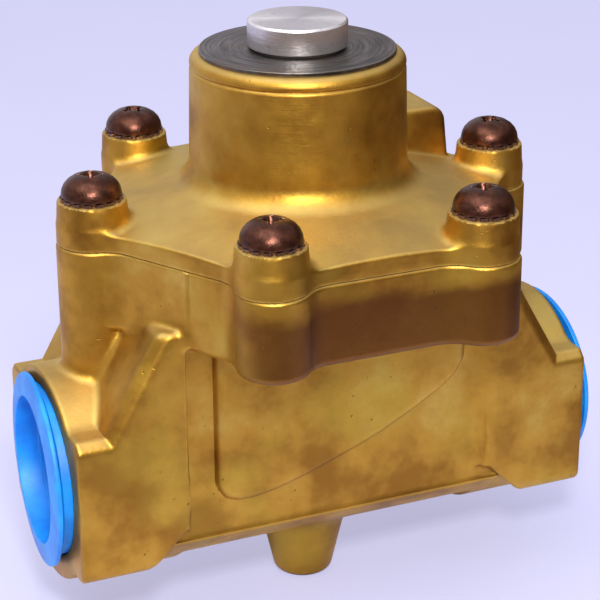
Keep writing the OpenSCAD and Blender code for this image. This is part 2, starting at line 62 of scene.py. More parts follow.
# Body
FACE_X = 52.8
HUB_SIDE_Y = 21.3
HUB_R = 20.9
HUB_DROP = 0.8
LEDGE_Z = 13.9
HUB_LOW_Z = 15.2
SIDE_ROUND = 2.6
HUB_INNER_X = 31.5
RIDGE_START = (29.3, 19.1)
RIDGE_END = (32.3, 21.3)
GUSSET_FOOT = (46.9, 13.9)
GUSSET_TOP = (36.3, 32.6)
BEVEL = 1.7
BEVEL_SIDE_R = 0.5
BEVEL_TOP_R = 0.3
WAIST_Y = 19.1
WAIST_LOW_Z = 11.8
KEEL_Z = 20.2
BULGE_Y = 21.3
BULGE_EDGE_R = 1.9
BULGE = (
    (-25.6, 31.0), (-25.6, 0.2), (-25.0, -1.6), (-23.8, -3.1), (-21.5, -4.1), (-18.5, -4.2),
    (-15.0, -3.7), (-11.2, -2.8), (-6.7, -1.4), (-1.9, 0.3), (4.4, 2.6), (8.6, 4.4),
    (15.0, 7.7), (21.0, 11.2), (24.2, 13.8), (26.0, 17.0), (26.8, 31.0),
)
FOOT_X = 0.5
FOOT_Z = 33.3
FOOT_TOP_R = 9.6
FOOT_LOW_R = 5.7
FOOT_TOP_Z = 16.2
FOOT_EDGE_R = 1.4
FOOT_ROOT_Z = 12.0

# Passages
PORT_R = 14.7
PORT_DEPTH = 18.5
THREAD_PITCH = 2.2
THREAD_DEPTH = 1.1
MOUTH_R = 16.95
MOUTH_DEPTH = 6.5
PASSAGE_R = 12.0
CHAMBER_Y = 17.3
CHAMBER_X = 23.4
CHAMBER_HIGH_Z = 16.0
SEAT_TUBE_R = 14.4
SEAT_TUBE_Z = 32.4
SEAT_BORE_R = 10.6
SEAT_RING_R = 12.63
SEAT_RING_LEN = 6.0
BOWL_R = 27.5
RECESS_R = 34.9
RECESS_DEPTH = 1.6
SCREW_HOLE_R = 3.1
SCREW_HOLE_LOW_Z = 31.4
BONNET_HOLE_R = 3.35

# Bonnet
BOSS_Z = 52.7
BOSS_R = 6.5
TOWER_R = 20.3
TOWER_FOOT_R = 20.8
TOWER_FOOT_Z = 55.0
TOWER_FILLET_R = 3.4
TOWER_Z = 75.9
TOWER_ROUND_R = 1.8
GROOVE_Z = 73.5
GROOVE_SIZE = 0.4
SLOPE_TOP_Z = 52.1
PILOT_LOW_Y = 5.0
PILOT_W = 15.0
PILOT_END_X = 34.6
PILOT_TOP_Z = 59.6
PILOT_ROUND_R = 2.2
PILOT_Y = PILOT_LOW_Y + PILOT_W / 2
PILOT_Z = 53.1
PILOT_R = 4.3
PILOT_LEN = 10.0
PILOT_WAY_R = 1.8
SPRING_BORE_R = 15.6
ROOF_Z = 70.1
GUIDE_BOSS_R = 8.4
GUIDE_LOW_Z = 58.1
BUSH_R = 5.83
BUSH_LEN = 10.0
STEM_HOLE_R = 4.6
ROOF_HOLE_R = 6.2
ROOF_HOLE_LOW_Z = 71.1
BONNET_CAVITY_Z = SLOPE_TOP_Z - 4

# Screws and washers
HEAD_SEAT_Z = 53.4
HEAD_PROFILE = (
    (0.0, 0.0), (5.55, 0.0), (5.6, 0.5), (5.45, 1.3), (5.05, 2.15), (4.35, 2.95),
    (3.35, 3.6), (2.2, 4.0), (1.1, 4.17), (0.0, 4.2),
)
RECESS_DEEP = 2.1
RECESS_REACH = 2.3
RECESS_HALF_W = 0.45
SCREW_R = 3.0
SCREW_LEN = 20.0
SCREW_PITCH = 1.0
SCREW_THREAD_DEPTH = 0.55
SCREW_PLAIN_LEN = 1.2
RECESS_TURNS = (28, 62, 18, 74, 66, 70)
WASHER_H = 0.7
WASHER_R = 5.85
WASHER_ROOT_R = 5.35
WASHER_HOLE_R = 3.2
WASHER_TEETH = 16
STEPS_PER_TOOTH = 8
TOOTH_SHARE = 0.6

# Top disc, gasket and cap
DISC_R = 18.45
DISC_TOP_Z = 76.7
CAP_HOLE_R = 6.3
GASKET_R = 8.9
CAP_LOW_Z = 77.2
CAP_R = 9.4
CAP_H = 4.9
SPIGOT_R = 6.15
SPIGOT_LEN = 5.1

# Port plugs
PLUG_R = 16.65
PLUG_BACK_X = 47.5
PLUG_FLANGE_X = 54.0
PLUG_FLANGE_R = 18.7
PLUG_EDGE_X = 54.9
PLUG_RIM_X = 55.5
PLUG_HOLLOW_R = 14.2
PLUG_FLOOR_X = 49.0
PLUG_ASKEW = 3.4
PLUG_GRIP_X = 50.15


# Distance field helpers

def length2(a, b):
    return np.sqrt(a * a + b * b)


def join(a, b, r):
    """Union of two fields with a hollow corner of radius r between them."""
    corner = length2(np.maximum(r - a, 0), np.maximum(r - b, 0))
    return np.maximum(r, np.minimum(a, b)) - corner


def meet(a, b, r):
    """Intersection of two fields with a rounded edge of radius r between them."""
    edge = length2(np.maximum(r + a, 0), np.maximum(r + b, 0))
    return np.minimum(-r, np.maximum(a, b)) + edge


def cut(a, b, r):
    """Takes b out of a, with a rounded edge of radius r."""
    return meet(a, -b, r)


def between(value, low, high):
    return np.maximum(low - value, value - high)


def bevelled(top, side):
    """Intersection with a flat bevel, crisper towards the top than towards the side."""
    bevel = (top + side + BEVEL) * math.sqrt(0.5)
    return meet(meet(side, bevel, BEVEL_SIDE_R), top, BEVEL_TOP_R)


def polygon(u, v, corners):
    """Signed distance to a closed outline in the plane of u and v."""
    nearest = None
    inside = None
    for (u0, v0), (u1, v1) in zip(corners, corners[1:] + corners[:1]):
        eu = u1 - u0
        ev = v1 - v0
        share = np.clip(((u - u0) * eu + (v - v0) * ev) / (eu * eu + ev * ev), 0, 1)
        away = length2(u - u0 - share * eu, v - v0 - share * ev)
        nearest = away if nearest is None else np.minimum(nearest, away)
        crosses = ((v0 <= v) != (v1 <= v)) & (u < u0 + (v - v0) * eu / (ev or 1e-9))
        inside = crosses if inside is None else inside ^ crosses
    return np.where(inside, -nearest, nearest)


def thread(along, angle, pitch, depth):
    """Depth of a helical thread, from 0 at its crest to depth at its root."""
    turn = (along / pitch + angle / (2 * math.pi)) % 1.0
    return depth * (1 - np.abs(2 * turn - 1))


# Outline of the flange, shared by both castings

def folded(x, y):
    """Folds a point into the half sector beside one screw."""
    angle = np.abs((np.arctan2(y, x) + math.pi / 6) % (math.pi / 3) - math.pi / 6)
    radius = length2(x, y)
    return radius * np.cos(angle), radius * np.sin(angle)


def flange_outline(x, y):
    u, v = folded(x, y)
    c = math.cos(math.pi / 6)
    s = math.sin(math.pi / 6)
    side = u * c + v * s - APOTHEM
    lobe = length2(u - BOLT_R, v) - LOBE_R
    away = APOTHEM + CORNER_R
    along = -BOLT_R * s + math.sqrt((LOBE_R + CORNER_R) ** 2 - (away - BOLT_R * c) ** 2)
    corner_u = away * c - along * s
    corner_v = away * s + along * c
    du = u - corner_u
    dv = v - corner_v
    lobe_du = BOLT_R - corner_u
    lobe_dv = -corner_v
    left_of_lobe = lobe_du * dv - lobe_dv * du <= 0
    right_of_side = -c * dv + s * du >= 0
    hollow = CORNER_R - length2(du, dv)
    return np.where(left_of_lobe & right_of_side, hollow, np.minimum(side, lobe))


def screw_distance(x, y):
    u, v = folded(x, y)
    return length2(u - BOLT_R, v)


# Body casting

def hub_inner_end(x, y):
    """The inner end is square at the inlet and a slanting ridge at the outlet."""
    run = RIDGE_END[0] - RIDGE_START[0]
    rise = RIDGE_END[1] - RIDGE_START[1]
    across = (np.abs(y) - RIDGE_START[1]) * run - (x - RIDGE_START[0]) * rise
    ridge = across / math.hypot(run, rise)
    ridge = np.maximum(ridge, RIDGE_START[0] - 1 - x)
    return np.where(x < 0, HUB_INNER_X + x, ridge)


def hub_block(mx, z, sides, inner_end):
    """Square block round the port, with its lower inner corner cut off."""
    block = bevelled(z - LEDGE_Z, sides)
    block = meet(block, -HUB_LOW_Z - z, SIDE_ROUND)
    block = meet(block, inner_end, 0.5)
    lower_corner = ((HUB_INNER_X + 4 - mx) + (-WAIST_LOW_Z + 0.6 - z)) * math.sqrt(0.5)
    return meet(block, lower_corner, 0.8)


def hub_gusset(mx, z, sides, inner_end):
    """Slanting web from the port up to the flange."""
    run = GUSSET_TOP[0] - GUSSET_FOOT[0]
    rise = GUSSET_TOP[1] - GUSSET_FOOT[1]
    size = math.hypot(run, rise)
    outward = ((mx - GUSSET_FOOT[0]) * rise - (z - GUSSET_FOOT[1]) * run) / size
    gusset = bevelled(outward, sides)
    gusset = meet(gusset, z - GUSSET_TOP[1], 1.2)
    gusset = meet(gusset, inner_end, 0.5)
    return np.maximum(gusset, -HUB_LOW_Z / 2 - z)


def hub(x, y, z):
    mx = np.abs(x)
    inner_end = hub_inner_end(x, y)
    sides = np.abs(y) - HUB_SIDE_Y
    block = hub_block(mx, z, sides, inner_end)
    gusset = hub_gusset(mx, z, sides, inner_end)
    barrel = np.maximum(length2(y, z + HUB_DROP) - HUB_R, HUB_INNER_X - mx)
    return join(np.minimum(block, gusset), barrel, 1.0)


def column(x, y, z):
    """Round column under each screw that stands over the pipe."""
    return np.maximum(length2(np.abs(x) - BOLT_R, y) - LOBE_R, -z)


def waist(x, y, z):
    sides = np.maximum(np.abs(y) - WAIST_Y, -WAIST_LOW_Z - z)
    drop = KEEL_Z - WAIST_LOW_Z
    keel_r = (WAIST_Y ** 2 + drop ** 2) / (2 * drop)
    keel = np.maximum(length2(y, z + KEEL_Z - keel_r) - keel_r, z + WAIST_LOW_Z - 1)
    middle = np.maximum(np.minimum(sides, keel), z - FLANGE_LOW_Z - 3)
    return np.maximum(middle, np.abs(x) - HUB_INNER_X - 3)


def bulge(x, y, z):
    return meet(polygon(x, z, BULGE), np.abs(y) - BULGE_Y, BULGE_EDGE_R)


def foot(x, y, z):
    radius = length2(x - FOOT_X, y)
    share = (z + FOOT_TOP_Z) / (FOOT_TOP_Z - FOOT_Z)
    slope = (FOOT_TOP_R - FOOT_LOW_R) / (FOOT_Z - FOOT_TOP_Z)
    side = (radius - FOOT_TOP_R + (FOOT_TOP_R - FOOT_LOW_R) * share) / math.hypot(1, slope)
    return np.maximum(meet(side, -FOOT_Z - z, FOOT_EDGE_R), z + FOOT_ROOT_Z)


def body_flange(x, y, z):
    """The flange with the raised parting line of the mould on its sides."""
    outline = flange_outline(x - BODY_SHIFT_X, y)
    parting = np.maximum(np.abs(x + PARTING_X) - PARTING_HALF_W, outline - PARTING_PROUD)
    outline = join(outline, parting, 0.2)
    return meet(outline, FLANGE_LOW_Z - z, FLANGE_EDGE_R)


def body_outside(x, y, z):
    solid = join(waist(x, y, z), bulge(x, y, z), 0.5)
    hubs = hub(x, y, z)
    solid = join(solid, hubs, 0.8)
    solid = join(solid, foot(x, y, z), 2.5)
    solid = join(solid, body_flange(x, y, z), 1.2)
    solid = np.minimum(solid, join(hubs, column(x, y, z), 1.6))
    solid = meet(solid, z - JOINT_Z, BODY_SEAM_R)
    return meet(solid, np.abs(x) - FACE_X, 0.7)


def inlet_cavity(x, y, z):
    bowl = np.maximum(length2(x, y) - BOWL_R, SEAT_TUBE_Z - 0.5 - z)
    ring = np.maximum(length2(x, y) - CHAMBER_Y, CHAMBER_HIGH_Z - z)
    pocket = np.maximum(between(x, -CHAMBER_X, -SEAT_TUBE_R / 2), np.abs(y) - CHAMBER_Y)
    pocket = np.maximum(pocket, between(z, 0.0, SEAT_TUBE_Z))
    tube = np.maximum(length2(x, y) - SEAT_TUBE_R, z - SEAT_TUBE_Z)
    chamber = np.maximum(join(join(bowl, ring, 1.0), pocket, 1.0), -tube)
    way = np.maximum(length2(y, z) - PASSAGE_R, x + SEAT_TUBE_R + 0.4)
    return np.minimum(chamber, way)


def outlet_cavity(x, y, z):
    bore = np.maximum(length2(x, y) - SEAT_BORE_R, -z)
    ring_seat = np.maximum(length2(x, y) - SEAT_RING_R, SEAT_TUBE_Z - SEAT_RING_LEN - z)
    way = np.maximum(length2(y, z) - PASSAGE_R, -x)
    return np.minimum(np.minimum(bore, ring_seat), way)


def ports(x, y, z):
    radius = length2(y, z)
    mx = np.abs(x)
    crest = radius - PORT_R - thread(mx, np.arctan2(z, y), THREAD_PITCH, THREAD_DEPTH)
    tapping = np.maximum(crest, FACE_X - PORT_DEPTH - mx)
    mouth = np.maximum(radius - MOUTH_R, FACE_X - MOUTH_DEPTH - mx)
    return np.minimum(tapping, mouth)


def body_field(x, y, z):
    solid = body_outside(x, y, z)
    recess = np.maximum(length2(x, y) - RECESS_R, JOINT_Z - RECESS_DEPTH - z)
    screw_holes = np.maximum(screw_distance(x, y) - SCREW_HOLE_R, SCREW_HOLE_LOW_Z - z)
    for hollow in (inlet_cavity(x, y, z), outlet_cavity(x, y, z), recess, screw_holes):
        solid = np.maximum(solid, -hollow)
    return cut(solid, ports(x, y, z), 0.3)


# Bonnet casting

def pilot_block(x, y, z):
    """Block beside the tower that takes the tube from the pilot."""
    sides = between(y, PILOT_LOW_Y, PILOT_LOW_Y + PILOT_W)
    draft = 0.07 * (z - EDGE_Z)
    block = meet(x - PILOT_END_X + draft - 0.3, z - PILOT_TOP_Z, PILOT_ROUND_R + 0.8)
    block = meet(block, sides + draft - 0.5, 1.2)
    return np.maximum(block, TOWER_R / 2 - x)


def tower(radius, z):
    draft = (TOWER_FOOT_R - TOWER_R) / (TOWER_Z - TOWER_FOOT_Z)
    side = radius - TOWER_R - draft * np.maximum(GROOVE_Z - z, 0)
    groove = (np.abs(z - GROOVE_Z) - radius + TOWER_R - GROOVE_SIZE) * math.sqrt(0.5)
    side = meet(side, -groove, 0.15)
    return meet(side, z - TOWER_Z, TOWER_ROUND_R)


def bonnet_top(x, y, z):
    """Sloping top of the bonnet, its tower and its bosses."""
    radius = length2(x, y)
    steep = math.atan2(SLOPE_TOP_Z - EDGE_Z, SLOPE_END_R - TOWER_FOOT_R)
    slope = (z - EDGE_Z) * math.cos(steep) + (radius - SLOPE_END_R) * math.sin(steep)
    slope = np.where(radius > SLOPE_END_R, z - EDGE_Z, slope)
    lean = (LOBE_R - BOSS_R) / (BOSS_Z - EDGE_Z)
    boss_side = screw_distance(x, y) - LOBE_R + 0.1 + lean * (z - EDGE_Z)
    boss = meet(boss_side, z - BOSS_Z, 0.35)
    return join(join(slope, boss, 1.8), tower(radius, z), TOWER_FILLET_R)


def bonnet_cavity(radius, z):
    """Cone over the diaphragm and the spring chamber, round the guide boss."""
    above = z - JOINT_Z - 0.7
    narrowing = (BOWL_R - TOWER_FOOT_R + 2) / (BONNET_CAVITY_Z - JOINT_Z - 0.7)
    cone = radius - BOWL_R + np.maximum(above, 0) * narrowing
    cone = np.maximum(cone, z - BONNET_CAVITY_Z)
    shaft = np.maximum(radius - SPRING_BORE_R, z - ROOF_Z)
    guide = np.maximum(radius - GUIDE_BOSS_R, GUIDE_LOW_Z - z)
    return np.maximum(np.minimum(cone, shaft), -guide)


def bonnet_field(x, y, z):
    radius = length2(x, y)
    solid = meet(bonnet_top(x, y, z), flange_outline(x, y) + BONNET_INSET, 0.5)
    solid = join(solid, pilot_block(x, y, z), 1.4)
    solid = meet(solid, JOINT_Z - z, BONNET_SEAM_R)
    cavity = bonnet_cavity(radius, z)
    bush_hole = np.maximum(radius - BUSH_R, z - GUIDE_LOW_Z - BUSH_LEN)
    stem_hole = radius - STEM_HOLE_R
    roof_hole = np.maximum(radius - ROOF_HOLE_R, ROOF_HOLE_LOW_Z - z)
    screw_holes = screw_distance(x, y) - BONNET_HOLE_R
    pilot_radius = length2(y - PILOT_Y, z - PILOT_Z)
    pilot_way = np.maximum(pilot_radius - PILOT_WAY_R, between(x, SPRING_BORE_R / 2, PILOT_END_X))
    for hollow in (cavity, bush_hole, stem_hole, roof_hole, screw_holes, pilot_way):
        solid = np.maximum(solid, -hollow)
    pilot_hole = np.maximum(pilot_radius - PILOT_R, PILOT_END_X - PILOT_LEN - x)
    return cut(solid, pilot_hole, 0.3)


# Screw with a pan head

def head_recess(x, y, z):
    """Cross recess: two tapering wings and a cone in the middle."""
    up = z - HEAD_PROFILE[-1][1] + RECESS_DEEP
    taper = 0.12 * (up - RECESS_DEEP)
    wing_a = np.maximum(np.abs(y) - RECESS_HALF_W - taper, np.abs(x) - RECESS_REACH - 4 * taper)
    wing_b = np.maximum(np.abs(x) - RECESS_HALF_W - taper, np.abs(y) - RECESS_REACH - 4 * taper)
    wings = np.maximum(join(wing_a, wing_b, 0.5), -up)
    cone = (length2(x, y) - 0.5 * (up + 1.0)) * math.cos(math.atan(0.5))
    return np.minimum(wings, cone)


def screw_field(x, y, z):
    radius = length2(x, y)
    head = polygon(radius, z, HEAD_PROFILE)
    groove = thread(z, np.arctan2(y, x), SCREW_PITCH, SCREW_THREAD_DEPTH)
    groove = np.where(z > -SCREW_PLAIN_LEN, 0.0, groove)
    shank = meet(radius - SCREW_R + groove, -SCREW_LEN - z, 0.4)
    solid = np.minimum(head, np.maximum(shank, z - 1))
    return cut(solid, head_recess(x, y, z), 0.12)


# From distance field to mesh

SHARP_ANGLE = math.radians(38)
FINE_REACH = 0.9
COARSE_GAP = 0.95
FINE_STEP_SHARE = 0.36


def levels(low, high, spacing, crisp=()):
    """Grid lines, closer together near the heights whose edges are crisp."""
    base = np.arange(low, high + spacing, spacing)
    for height in crisp:
        base = base[np.abs(base - height) > COARSE_GAP]
    step = spacing * FINE_STEP_SHARE
    fine = [height + np.arange(-FINE_REACH, FINE_REACH + step, step) for height in crisp]
    return np.unique(np.concatenate([base] + fine).round(3)).astype(np.float32)


def corner_steps():
    return [(i, j, k) for i in (0, 1) for j in (0, 1) for k in (0, 1)]


def cell_edges():
    """The twelve edges of a cell, each as its two corners."""
    corners = corner_steps()
    edges = []
    for a in corners:
        for b in corners:
            if a < b and sum(abs(p - q) for p, q in zip(a, b)) == 1:
                edges.append((a, b))
    return edges


def cell_vertices(field, axes):
    """One vertex in each cell that the surface crosses, and the cells' numbers."""
    counts = [n - 1 for n in field.shape]

    def corner(step):
        window = tuple(slice(s, s + n) for s, n in zip(step, counts))
        return field[window]

    inside = sum((corner(step) < 0).astype(np.int8) for step in corner_steps())
    cells = np.argwhere((inside > 0) & (inside < 8))
    total = np.zeros((len(cells), 3))
    number = np.zeros(len(cells))
    for a, b in cell_edges():
        fa = field[tuple((cells + a).T)]
        fb = field[tuple((cells + b).T)]
        crossed = (fa < 0) != (fb < 0)
        share = np.where(crossed, fa / np.where(crossed, fa - fb, 1.0), 0.0)
        point = np.array(a) + share[:, None] * (np.array(b) - np.array(a))
        total += np.where(crossed[:, None], point, 0.0)
        number += crossed
    places = cells + total / number[:, None]
    points = [np.interp(places[:, k], np.arange(len(axes[k])), axes[k]) for k in range(3)]
    index = np.full(counts, -1, np.int32)
    index[tuple(cells.T)] = np.arange(len(cells))
    return np.stack(points, axis=1), index


def cell_quads(field, index):
    """Joins the vertices of the four cells round each crossed grid edge."""
    quads = []
    for axis in range(3):
        side_a = (axis + 1) % 3
        side_b = (axis + 2) % 3
        low = [slice(None)] * 3
        high = [slice(None)] * 3
        low[axis] = slice(0, -1)
        high[axis] = slice(1, None)
        starts_inside = field[tuple(low)] < 0
        ends_inside = field[tuple(high)] < 0
        edges = np.argwhere(starts_inside != ends_inside)
        for side in (side_a, side_b):
            edges = edges[(edges[:, side] > 0) & (edges[:, side] < field.shape[side] - 1)]
        step_a = np.zeros(3, int)
        step_a[side_a] = 1
        step_b = np.zeros(3, int)
        step_b[side_b] = 1
        ring = [edges - step_a - step_b, edges - step_b, edges, edges - step_a]
        quad = np.stack([index[tuple(cell.T)] for cell in ring], axis=1)
        outward = starts_inside[tuple(edges.T)]
        quads.append(np.where(outward[:, None], quad, quad[:, ::-1]))
    return np.concatenate(quads)


def gradient(function, points, step=0.04):
    slopes = []
    for axis in range(3):
        shift = np.zeros(3)
        shift[axis] = step
        ahead = function(*(points + shift).T)
        behind = function(*(points - shift).T)
        slopes.append((ahead - behind) / (2 * step))
    return np.stack(slopes, axis=1)


def settle(function, points, limit):
    """Moves the points onto the surface of the field, each by at most limit."""
    start = points.copy()
    for _ in range(3):
        value = function(*points.T)
        slope = gradient(function, points)
        size = np.maximum((slope ** 2).sum(1), 0.25)
        points = points - slope * (value / size)[:, None]
        moved = points - start
        far = np.maximum(np.linalg.norm(moved, axis=1) / limit, 1.0)
        points = start + moved / far[:, None]
    return points


def field_mesh(name, function, axes, spacing):
    x = axes[0][:, None, None]
    y = axes[1][None, :, None]
    z = axes[2][None, None, :]
    field = np.broadcast_to(function(x, y, z), [len(a) for a in axes])
    points, index = cell_vertices(field, axes)
    quads = cell_quads(field, index)
    points = settle(function, points, spacing)
    mesh = bpy.data.meshes.new(name)
    mesh.vertices.add(len(points))
    mesh.vertices.foreach_set("co", points.astype(np.float32).ravel())
    mesh.loops.add(4 * len(quads))
    mesh.loops.foreach_set("vertex_index", quads.astype(np.int32).ravel())
    mesh.polygons.add(len(quads))
    mesh.polygons.foreach_set("loop_start", np.arange(0, 4 * len(quads), 4, dtype=np.int32))
    mesh.update(calc_edges=True)
    mesh.validate()
    return mesh


def thinned(mesh, triangles):
    """Merges the flattest faces until about this many triangles are left."""
    thing = bpy.data.objects.new(mesh.name, mesh)
    bpy.context.scene.collection.objects.link(thing)
    now = 2 * len(mesh.polygons)
    if now > triangles:
        modifier = thing.modifiers.new("thin", "DECIMATE")
        modifier.ratio = triangles / now
        seen = thing.evaluated_get(bpy.context.evaluated_depsgraph_get())
        mesh = bpy.data.meshes.new_from_object(seen)
    bpy.data.objects.remove(thing)
    return mesh


def finished(mesh):
    """Smooths the shading and scales from millimetres to metres."""
    mesh.shade_smooth()
    mesh.set_sharp_from_angle(angle=SHARP_ANGLE)
    mesh.transform(Matrix.Scale(MM, 4))
    return mesh


def new_object(name, mesh, materials, body, node):
    """Places a piece on the valve axis, in the stead of the node that it shows."""
    thing = bpy.data.objects.new(name, mesh)
    bpy.context.scene.collection.objects.link(thing)
    thing.location = (VALVE_AXIS_X * MM, 0, 0)
    mesh.materials.clear()
    for material in materials:
        mesh.materials.append(material)
    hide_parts(node)
    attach(thing, body)
    return thing


# Turned shapes

def softened(profile):
    """Rounds each corner of a profile that gives a radius after its place."""
    points = []
    for i, corner in enumerate(profile):
        radius = corner[2] if len(corner) > 2 else 0.0
        here = Vector(corner[:2])
        if radius <= 0:
            points.append(tuple(here))
            continue
        before = Vector(profile[i - 1][:2]) - here
        after = Vector(profile[(i + 1) % len(profile)][:2]) - here
        start = here + before.normalized() * radius
        end = here + after.normalized() * radius
        for t in (0.0, 0.25, 0.5, 0.75, 1.0):
            point = (1 - t) ** 2 * start + 2 * t * (1 - t) * here + t ** 2 * end
            points.append(tuple(point))
    return points


def lathe(name, profile, steps=144):
    """Turns a closed profile of radius and height round the z axis."""
    points = softened(profile)
    bm = bmesh.new()
    rings = []
    for i in range(steps):
        angle = 2 * math.pi * i / steps
        c = math.cos(angle)
        s = math.sin(angle)
        rings.append([bm.verts.new((r * c, r * s, z)) for r, z in points])
    for i, ring in enumerate(rings):
        following = rings[(i + 1) % steps]
        for k in range(len(points)):
            m = (k + 1) % len(points)
            if points[k][0] > 0 or points[m][0] > 0:
                bm.faces.new((ring[k], following[k], following[m], ring[m]))
    bmesh.ops.remove_doubles(bm, verts=bm.verts, dist=1e-5)
    bmesh.ops.recalc_face_normals(bm, faces=bm.faces)
    mesh = bpy.data.meshes.new(name)
    bm.to_mesh(mesh)
    bm.free()
    return mesh


def washer_mesh():
    """External-tooth lock washer: a ring whose teeth are twisted out of its plane."""
    steps = WASHER_TEETH * STEPS_PER_TOOTH
    bm = bmesh.new()
    rings = []
    for i in range(steps):
        angle = 2 * math.pi * i / steps
        c = math.cos(angle)
        s = math.sin(angle)
        share = (i % STEPS_PER_TOOTH) / STEPS_PER_TOOTH
        tooth = share < TOOTH_SHARE
        reach = WASHER_R if tooth else WASHER_ROOT_R
        twist = (share - TOOTH_SHARE / 2) * 0.3 if tooth else 0.0
        ring = []
        for radius, lift in ((WASHER_HOLE_R, 0.0), (WASHER_ROOT_R - 0.35, 0.0), (reach, twist)):
            for z in (0.05, WASHER_H - 0.12):
                height = min(max(z + lift, 0.0), WASHER_H)
                ring.append(bm.verts.new((radius * c, radius * s, height)))
        rings.append(ring)
    for i, ring in enumerate(rings):
        following = rings[(i + 1) % steps]
        for k, m in ((0, 2), (2, 4), (4, 5), (5, 3), (3, 1), (1, 0)):
            bm.faces.new((ring[k], following[k], following[m], ring[m]))
    bmesh.ops.recalc_face_normals(bm, faces=bm.faces)
    mesh = bpy.data.meshes.new("lock_washer")
    bm.to_mesh(mesh)
    bm.free()
    return mesh


# Node helpers

def add(tree, kind, inputs=None, **settings):
    new = tree.nodes.new(kind)
    for name, value in settings.items():
        setattr(new, name, value)
    for name, value in (inputs or {}).items():
        if isinstance(value, bpy.types.NodeSocket):
            tree.links.new(value, new.inputs[name])
        else:
            new.inputs[name].default_value = value
    return new


def maths(tree, operation, a, b=0.0):
    return add(tree, "ShaderNodeMath", {0: a, 1: b}, operation=operation).outputs[0]


def scaled(tree, value, factor):
    return maths(tree, "MULTIPLY", value, factor)


def split(tree, vector):
    """The x, y and z of a vector."""
    return add(tree, "ShaderNodeSeparateXYZ", {0: vector}).outputs


def axis_distance(tree, parts):
    """Distance from the valve axis."""
    along = maths(tree, "POWER", parts[0], 2)
    across = maths(tree, "POWER", parts[1], 2)
    return maths(tree, "SQRT", maths(tree, "ADD", along, across))


def smooth(tree, value, low, high):
    """0 below low and 1 above high, with a soft step between them."""
    new = add(
        tree, "ShaderNodeMapRange", {"Value": value, "From Min": low, "From Max": high},
        interpolation_type="SMOOTHSTEP",
    )
    return new.outputs["Result"]


def inside_band(tree, value, low, high, soft):
    rise = smooth(tree, value, low - soft, low + soft)
    fall = smooth(tree, value, high + soft, high - soft)
    return scaled(tree, rise, fall)


def millimetres(tree):
    place = add(tree, "ShaderNodeTexCoord").outputs["Object"]
    return stretched(tree, place, (1000, 1000, 1000))


def stretched(tree, place, factors):
    new = add(tree, "ShaderNodeVectorMath", {0: place, 1: factors}, operation="MULTIPLY")
    return new.outputs[0]


def noise(tree, place, size, detail=3.0, roughness=0.55):
    values = {"Vector": place, "Scale": 1 / size, "Detail": detail, "Roughness": roughness}
    return add(tree, "ShaderNodeTexNoise", values).outputs[0]


def blended(tree, share, a, b):
    new = add(tree, "ShaderNodeMix", {0: share}, data_type="RGBA")
    for socket, value in ((new.inputs[6], a), (new.inputs[7], b)):
        if isinstance(value, bpy.types.NodeSocket):
            tree.links.new(value, socket)
        else:
            socket.default_value = (*value, 1)
    return new.outputs[2]


def bumped(tree, height, distance):
    values = {"Height": height, "Distance": distance, "Strength": 1.0}
    return add(tree, "ShaderNodeBump", values).outputs["Normal"]


def occluded(tree, reach, low, high, **settings):
    new = add(tree, "ShaderNodeAmbientOcclusion", {"Distance": reach}, samples=8, **settings)
    closed = maths(tree, "SUBTRACT", 1.0, new.outputs["AO"])
    return smooth(tree, closed, low, high)


def crease_shade_share(tree, reach, low, high):
    """1 deep in hollow corners and 0 on open faces, for painting shade into creases."""
    return occluded(tree, reach, low, high)


def edge_share(tree, reach, low, high):
    """1 along outer edges and 0 on open faces."""
    return occluded(tree, reach, low, high, inside=True, only_local=True)


def new_material(name, metallic, roughness):
    material = bpy.data.materials.new(name)
    material.use_nodes = True
    tree = material.node_tree
    shader = tree.nodes["Principled BSDF"]
    shader.inputs["Metallic"].default_value = metallic
    shader.inputs["Roughness"].default_value = roughness
    shader.inputs["IOR"].default_value = 1.5
    return material, tree, shader


def finish_shader(tree, shader, color, roughness, normal):
    tree.links.new(color, shader.inputs["Base Color"])
    tree.links.new(roughness, shader.inputs["Roughness"])
    tree.links.new(normal, shader.inputs["Normal"])


# Brass

BRASS_DARK = (0.31, 0.148, 0.022)
BRASS_GOLD = (0.50, 0.275, 0.040)
BRASS_PALE = (0.60, 0.40, 0.085)
BRASS_GREEN = (0.48, 0.345, 0.045)
# Reddish brown for tarnish on the front of the body, partly a painted reflection of the dim
# surroundings in front.
TARNISH_AND_REFLECTION_RED = (0.15, 0.052, 0.015)
# Paler brass painted on faces that look up, a painted sheen of the light from above.
BRASS_LIT_TOP = (0.56, 0.44, 0.17)
# Dark brown for dirt in pits and for painted shade in creases.
DIRT_AND_CREASE_SHADE = (0.10, 0.042, 0.012)


def brass_color(tree, place):
    """Gold with browner, paler and greener clouds."""
    clouds = noise(tree, place, 17.0, 4.0, 0.6)
    greener = noise(tree, stretched(tree, place, (1.1, -0.9, 1.0)), 26.0, 3.0, 0.5)
    small = noise(tree, place, 4.0, 5.0, 0.7)
    color = blended(tree, smooth(tree, clouds, 0.36, 0.56), BRASS_DARK, BRASS_GOLD)
    color = blended(tree, smooth(tree, clouds, 0.52, 0.74), color, BRASS_PALE)
    color = blended(tree, scaled(tree, smooth(tree, greener, 0.48, 0.7), 0.5), color, BRASS_GREEN)
    darker = scaled(tree, smooth(tree, small, 0.55, 0.8), 0.35)
    return blended(tree, darker, color, BRASS_DARK)


def pitted(tree, place, color):
    """Scattered dark specks and small pits of the casting."""
    specks = noise(tree, place, 0.9, 2.0, 0.5)
    where = noise(tree, place, 9.0, 2.0, 0.5)
    share = scaled(tree, smooth(tree, specks, 0.68, 0.76), smooth(tree, where, 0.52, 0.66))
    return blended(tree, scaled(tree, share, 0.75), color, DIRT_AND_CREASE_SHADE), share


